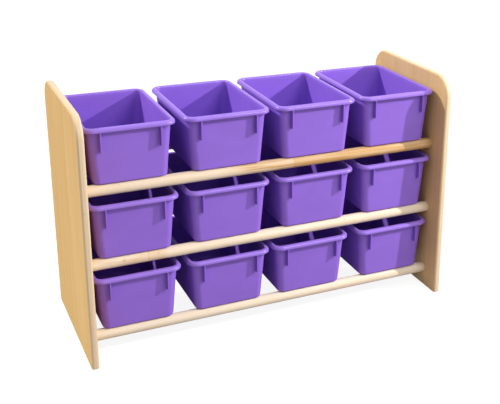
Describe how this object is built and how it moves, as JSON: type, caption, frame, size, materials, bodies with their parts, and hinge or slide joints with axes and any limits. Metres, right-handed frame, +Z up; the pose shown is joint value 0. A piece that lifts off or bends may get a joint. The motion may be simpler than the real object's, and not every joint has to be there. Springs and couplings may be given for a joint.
{
  "type": "toy storage unit",
  "caption": "Open wooden rack on two side panels with round corners; pairs of round rods carry rows of lift-out plastic bins for a child's toys.",
  "frame": {"origin": "on the floor, under the middle of the unit's box", "axes": "+X along the rods to the right as seen from the front, front faces -Y, +Z up"},
  "size_m": [0.982, 0.396, 0.63],
  "materials": {
    "birch_panel": "clear satin lacquer on birch plywood, edges sanded round",
    "hardwood_rod": "clear satin lacquer on pale hardwood rod",
    "zinc_screw": "bright zinc",
    "wood_plug": "sanded flush and lacquered",
    "purple_plastic": "moulded, semi-gloss"
  },
  "bodies": {
    "frame": {"left_panel": "birch_panel", "right_panel": "birch_panel", "bottom_front_rod": "hardwood_rod", "bottom_rear_rod": "hardwood_rod", "middle_front_rod": "hardwood_rod", "middle_rear_rod": "hardwood_rod", "top_front_rod": "hardwood_rod", "top_rear_rod": "hardwood_rod", "left_screws": "zinc_screw", "right_screws": "zinc_screw", "left_plugs": "wood_plug", "right_plugs": "wood_plug"},
    "bottom_bin_1": {"bottom_bin_1": "purple_plastic"},
    "bottom_bin_2": {"bottom_bin_2": "purple_plastic"},
    "bottom_bin_3": {"bottom_bin_3": "purple_plastic"},
    "bottom_bin_4": {"bottom_bin_4": "purple_plastic"},
    "middle_bin_1": {"middle_bin_1": "purple_plastic"},
    "middle_bin_2": {"middle_bin_2": "purple_plastic"},
    "middle_bin_3": {"middle_bin_3": "purple_plastic"},
    "middle_bin_4": {"middle_bin_4": "purple_plastic"},
    "top_bin_1": {"top_bin_1": "purple_plastic"},
    "top_bin_2": {"top_bin_2": "purple_plastic"},
    "top_bin_3": {"top_bin_3": "purple_plastic"},
    "top_bin_4": {"top_bin_4": "purple_plastic"}
  },
  "joints": [
    {"name": "bottom_bin_1_pull", "type": "slide", "parent": "frame", "child": "bottom_bin_1", "axis": [0, -1, 0], "range_m": [0, 0.37]},
    {"name": "bottom_bin_2_pull", "type": "slide", "parent": "frame", "child": "bottom_bin_2", "axis": [0, -1, 0], "range_m": [0, 0.37]},
    {"name": "bottom_bin_3_pull", "type": "slide", "parent": "frame", "child": "bottom_bin_3", "axis": [0, -1, 0], "range_m": [0, 0.37]},
    {"name": "bottom_bin_4_pull", "type": "slide", "parent": "frame", "child": "bottom_bin_4", "axis": [0, -1, 0], "range_m": [0, 0.37]},
    {"name": "middle_bin_1_pull", "type": "slide", "parent": "frame", "child": "middle_bin_1", "axis": [0, -1, 0], "range_m": [0, 0.37]},
    {"name": "middle_bin_2_pull", "type": "slide", "parent": "frame", "child": "middle_bin_2", "axis": [0, -1, 0], "range_m": [0, 0.37]},
    {"name": "middle_bin_3_pull", "type": "slide", "parent": "frame", "child": "middle_bin_3", "axis": [0, -1, 0], "range_m": [0, 0.37]},
    {"name": "middle_bin_4_pull", "type": "slide", "parent": "frame", "child": "middle_bin_4", "axis": [0, -1, 0], "range_m": [0, 0.37]},
    {"name": "top_bin_1_pull", "type": "slide", "parent": "frame", "child": "top_bin_1", "axis": [0, -1, 0], "range_m": [0, 0.37]},
    {"name": "top_bin_2_pull", "type": "slide", "parent": "frame", "child": "top_bin_2", "axis": [0, -1, 0], "range_m": [0, 0.37]},
    {"name": "top_bin_3_pull", "type": "slide", "parent": "frame", "child": "top_bin_3", "axis": [0, -1, 0], "range_m": [0, 0.37]},
    {"name": "top_bin_4_pull", "type": "slide", "parent": "frame", "child": "top_bin_4", "axis": [0, -1, 0], "range_m": [0, 0.37]}
  ]
}
